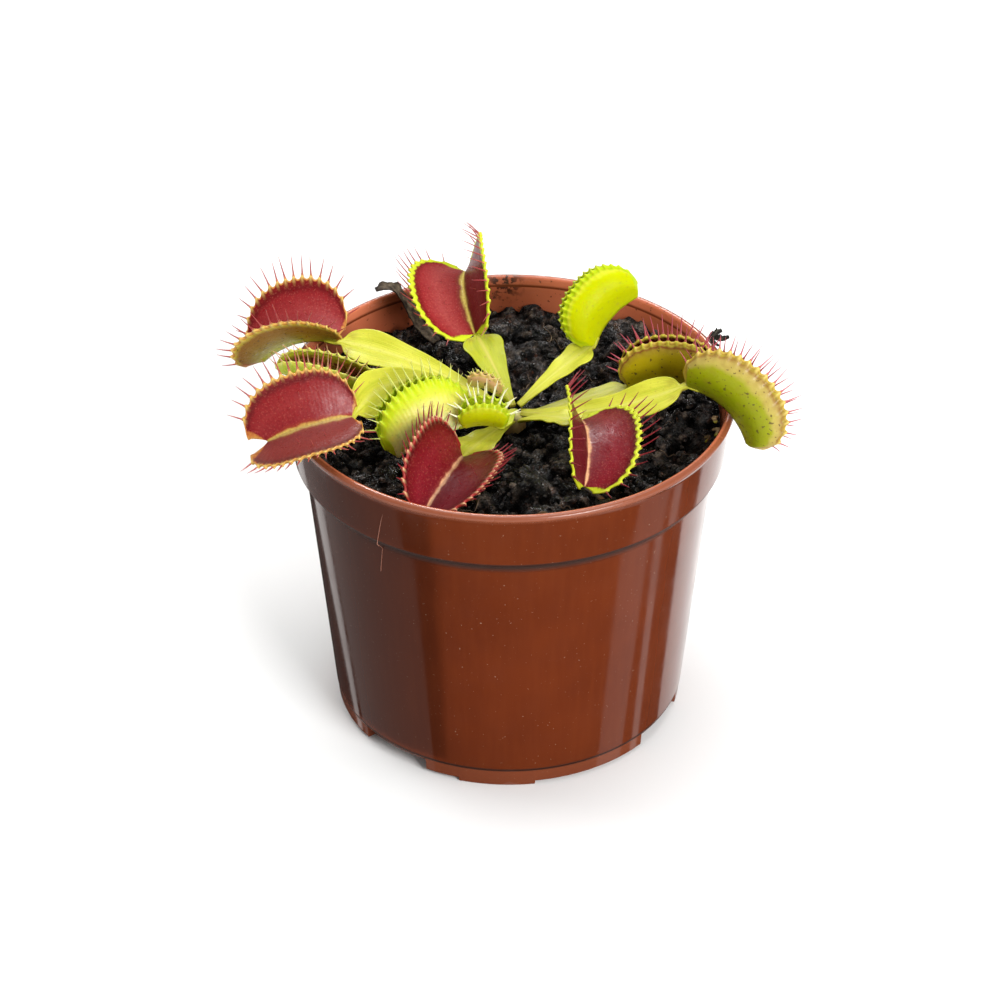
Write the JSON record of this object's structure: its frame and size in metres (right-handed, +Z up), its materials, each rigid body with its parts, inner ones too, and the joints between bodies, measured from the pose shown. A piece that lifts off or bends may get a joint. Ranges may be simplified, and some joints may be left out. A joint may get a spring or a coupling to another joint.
{
  "type": "potted venus flytrap",
  "caption": "Small Venus flytrap: a low rosette of winged leaf stalks with open, bristle-edged snap traps, rooted in dark peat in a tapered brown plastic nursery pot.",
  "frame": {"origin": "on the pot's axis, in the plane of the pads that the pot stands on", "axes": "+Z up along the pot's axis, X along the rosette's widest spread, -Y towards the side with the two open maroon traps at the pot's front rim"},
  "size_m": [0.1163, 0.09, 0.092],
  "materials": {
    "pot_plastic": "glossy moulded terracotta-brown plastic",
    "peat": "damp dark crumbly peat",
    "rhizome": "pale waxy crown",
    "leaf_left_rear": "satin, fleshy leaf with a toothed trap",
    "leaf_left_front": "satin, fleshy leaf with a toothed trap",
    "leaf_left_middle": "satin, fleshy leaf with a toothed trap",
    "leaf_centre_green": "satin, fleshy leaf with a toothed trap",
    "leaf_centre_small": "satin, fleshy leaf with a toothed trap",
    "leaf_young": "satin, fleshy leaf with a toothed trap",
    "leaf_front_left": "satin, fleshy leaf with a toothed trap",
    "leaf_front_right": "satin, fleshy leaf with a toothed trap",
    "leaf_rear_left": "satin, fleshy leaf with a toothed trap",
    "leaf_rear_right": "satin, fleshy leaf with a toothed trap",
    "leaf_right_rear": "satin, fleshy leaf with a toothed trap",
    "leaf_right_front": "satin, fleshy leaf with a toothed trap",
    "dry_leaf": "dull, withered",
    "dead_scrap": "dull, blackened",
    "twig": "dull, weathered"
  },
  "bodies": {
    "root": {"pot": "pot_plastic", "soil": "peat", "rhizome": "rhizome", "leaf_left_rear": "leaf_left_rear", "leaf_left_front": "leaf_left_front", "leaf_left_middle": "leaf_left_middle", "leaf_centre_green": "leaf_centre_green", "leaf_centre_small": "leaf_centre_small", "leaf_young": "leaf_young", "leaf_front_left": "leaf_front_left", "leaf_front_right": "leaf_front_right", "leaf_rear_left": "leaf_rear_left", "leaf_rear_right": "leaf_rear_right", "leaf_right_rear": "leaf_right_rear", "leaf_right_front": "leaf_right_front", "dry_leaf": "dry_leaf", "rim_scrap": "dead_scrap", "twig": "twig"}
  },
  "joints": []
}
